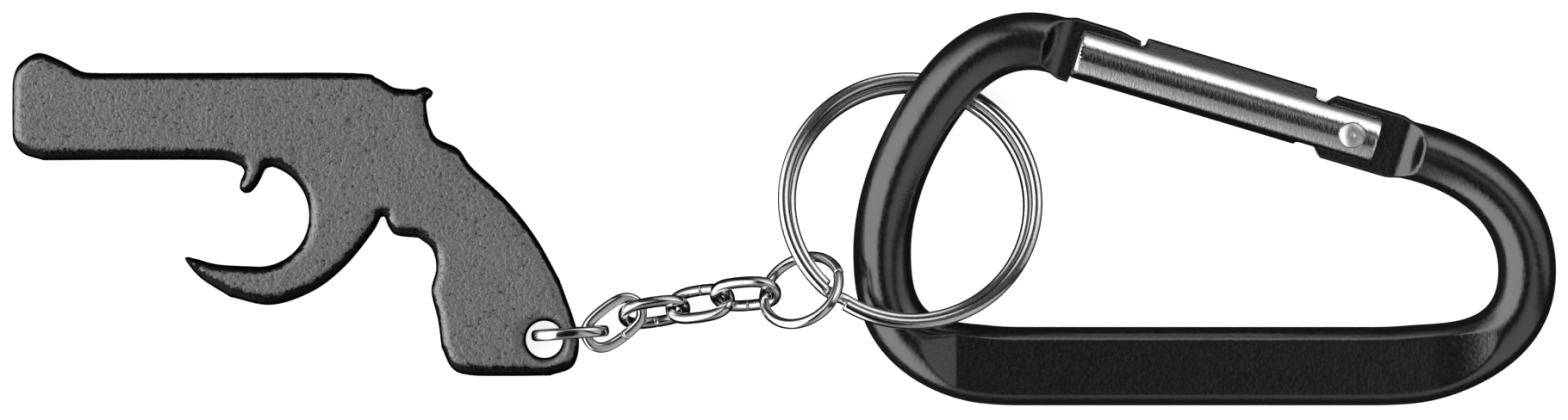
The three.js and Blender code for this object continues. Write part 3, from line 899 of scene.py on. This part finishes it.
def hinge_rivet(material):
    """Revolved about the rivet's axis: a shank, a domed head on each side and a small dimple in each dome."""
    seat = GATE_RADIUS + HEAD_CLEARANCE
    dimple_radius, dimple_depth = RIVET_DIMPLE
    radii = RIVET_HEAD * np.sin(np.linspace(0, math.pi / 2, 18))
    heights = seat + RIVET_DOME * np.cos(np.linspace(0, math.pi / 2, 18)) ** 0.9
    heights -= dimple_depth * np.exp(-(radii / dimple_radius) ** 2)
    radii = np.concatenate([radii[1:], [RIVET_HEAD * 0.985, RIVET_RADIUS]])
    heights = np.concatenate([heights[1:], [seat - 0.03, seat - 0.05]])
    profile = np.vstack([np.column_stack([radii, heights]), np.column_stack([radii, -heights])[::-1]])
    sides = 48
    angle = np.linspace(0, 2 * math.pi, sides, endpoint=False)
    points = np.array([
        (RIVET_AT + r * math.cos(a), r * math.sin(a), z)
        for r, z in profile
        for a in angle
    ])
    faces = []
    for i in range(len(profile) - 1):
        for j in range(sides):
            n = (j + 1) % sides
            faces.append((i * sides + j, (i + 1) * sides + j, (i + 1) * sides + n, i * sides + n))
    faces.append(tuple(range(sides)))
    faces.append(tuple(range(len(profile) * sides - 1, (len(profile) - 1) * sides - 1, -1)))
    placed = in_carabiner(in_gate_frame(points))
    piece = add_piece("rivet", placed, faces, material, "gate", "hinge_rivet", "nickel")
    store(piece, "frosted", np.ones(len(placed)))
    return piece


def gate_spring(material):
    path = bezier((27.2, -0.5), (24.5, 2.2), (20, 1.2), (13, -1.8), 90)
    path = np.column_stack([path, np.zeros(len(path))])
    points, faces = tube(path, (0, 0, 1), SPRING_WIRE, SPRING_WIRE, 20, bevel=0.06)
    placed = in_carabiner(in_gate_frame(points))
    return add_piece("spring_wire", placed, faces, material, "gate", "gate_spring", "spring_steel")


# ---- stage, light and camera ----

def floor():
    side = 1500
    corners = [(-side, -side, 0), (side, -side, 0), (side, side, 0), (-side, side, 0)]
    mesh = bpy.data.meshes.new("floor")
    mesh.from_pydata((np.array(corners) * MM).tolist(), [], [(0, 1, 2, 3)])
    material = bpy.data.materials.new("pale_floor")
    material.use_nodes = True
    shader = material.node_tree.nodes["Principled BSDF"]
    shader.inputs["Base Color"].default_value = (0.9, 0.9, 0.9, 1)
    shader.inputs["Roughness"].default_value = 0.9
    shader.inputs["Emission Color"].default_value = (1, 1, 1, 1)
    shader.inputs["Emission Strength"].default_value = 0.8
    mesh.materials.append(material)
    piece = bpy.data.objects.new("floor", mesh)
    bpy.context.scene.collection.objects.link(piece)
    # polished metal mirrors the dark studio below the horizon, not the floor
    piece.visible_glossy = False


def studio_light():
    """A light tent: a bright side, a dimmer side opposite, and a dark gap between them overhead."""
    world = bpy.data.worlds.new("tent")
    bpy.context.scene.world = world
    world.use_nodes = True
    nodes, links = world.node_tree.nodes, world.node_tree.links
    background = nodes["Background"]
    direction = nodes.new("ShaderNodeTexCoord").outputs["Generated"]

    def add_node(kind, **settings):
        node = nodes.new(kind)
        for key, value in settings.items():
            setattr(node, key, value)
        return node

    def toward(vector):
        node = add_node("ShaderNodeVectorMath", operation="DOT_PRODUCT")
        links.new(direction, node.inputs[0])
        node.inputs[1].default_value = Vector(vector).normalized()
        return node.outputs["Value"]

    def ramp(value, low, high, top):
        node = add_node("ShaderNodeMapRange", interpolation_type="SMOOTHSTEP")
        links.new(value, node.inputs["Value"])
        for socket, number in (("From Min", low), ("From Max", high), ("To Min", 0), ("To Max", top)):
            node.inputs[socket].default_value = number
        return node.outputs["Result"]

    def combine(operation, a, b):
        node = add_node("ShaderNodeMath", operation=operation)
        for socket, value in zip(node.inputs, (a, b)):
            if isinstance(value, (int, float)):
                socket.default_value = value
            else:
                links.new(value, socket)
        return node.outputs["Value"]

    # the opening overhead that the camera looks through is dark, and so is the studio below the horizon
    x, y, z = (toward(axis) for axis in ((1, 0, 0), (0, 1, 0), (0, 0, 1)))
    off_x = combine("DIVIDE", combine("SUBTRACT", x, OPENING[0]), OPENING_HALF[0])
    off_y = combine("DIVIDE", combine("SUBTRACT", y, OPENING[1]), OPENING_HALF[1])
    from_opening = combine("ADD", combine("MULTIPLY", off_x, off_x), combine("MULTIPLY", off_y, off_y))
    walls = combine("MAXIMUM", ramp(from_opening, 0.8, 1.3, 1), combine("LESS_THAN", z, 0))
    above = ramp(z, -0.2, 0.05, 1)
    left = combine("MULTIPLY", ramp(x, -0.2, -0.4, 1), ramp(y, 0.75, 0.5, 1))
    top = combine("MULTIPLY", ramp(y, 0.15, 0.5, 0.6), ramp(z, 0.0, 0.7, 1))
    bright = combine("MULTIPLY", combine("MAXIMUM", left, top), 1.75)
    far_low = combine("MULTIPLY", ramp(y, 0.2, 0.5, 0.7), ramp(z, 0.4, 0.15, 1))
    dim = combine("MULTIPLY", combine("ADD", ramp(x, 0, 0.5, 0.33), 0.27), combine("SUBTRACT", 1, far_low))
    lit = combine("MULTIPLY", combine("MULTIPLY", combine("ADD", bright, dim), walls), above)
    # a dark seam of the tent crosses the top light
    diagonal = combine("MULTIPLY", combine("ADD", x, y), math.sqrt(0.5))
    from_seam = combine("ABSOLUTE", combine("SUBTRACT", diagonal, SEAM_AT), 0)
    seam = combine("ADD", ramp(from_seam, 0.08, 0.16, 0.94), 0.06)
    light = combine("ADD", combine("MULTIPLY", lit, seam), 0.008)
    background.inputs["Color"].default_value = (1, 1, 1, 1)
    links.new(light, background.inputs["Strength"])


def camera():
    """Straight above, through a long lens, framing the set as wide as the picture."""
    distance = 1000
    seen_width = 178.43
    seen_at = 4
    sensor = 36
    data = bpy.data.cameras.new("camera")
    data.sensor_width = sensor
    data.lens = sensor * distance / seen_width
    data.clip_start = 0.01
    data.clip_end = 20
    piece = bpy.data.objects.new("camera", data)
    piece.location = Vector((0.05, 0, distance + seen_at)) * MM
    bpy.context.scene.collection.objects.link(piece)
    bpy.context.scene.camera = piece


# ---- the scene ----

nickel = nickel_finish()
opener_plate(opener_finish())
for link_number in range(1, len(LINK_POSES) + 1):
    chain_link(link_number, nickel)
jump_ring(nickel)
split_ring(nickel)
carabiner_body(carabiner_finish())
gate_sleeve(nickel)
hinge_rivet(nickel)
gate_spring(spring_finish())
floor()
studio_light()
camera()
bpy.context.scene.view_settings.view_transform = "Standard"
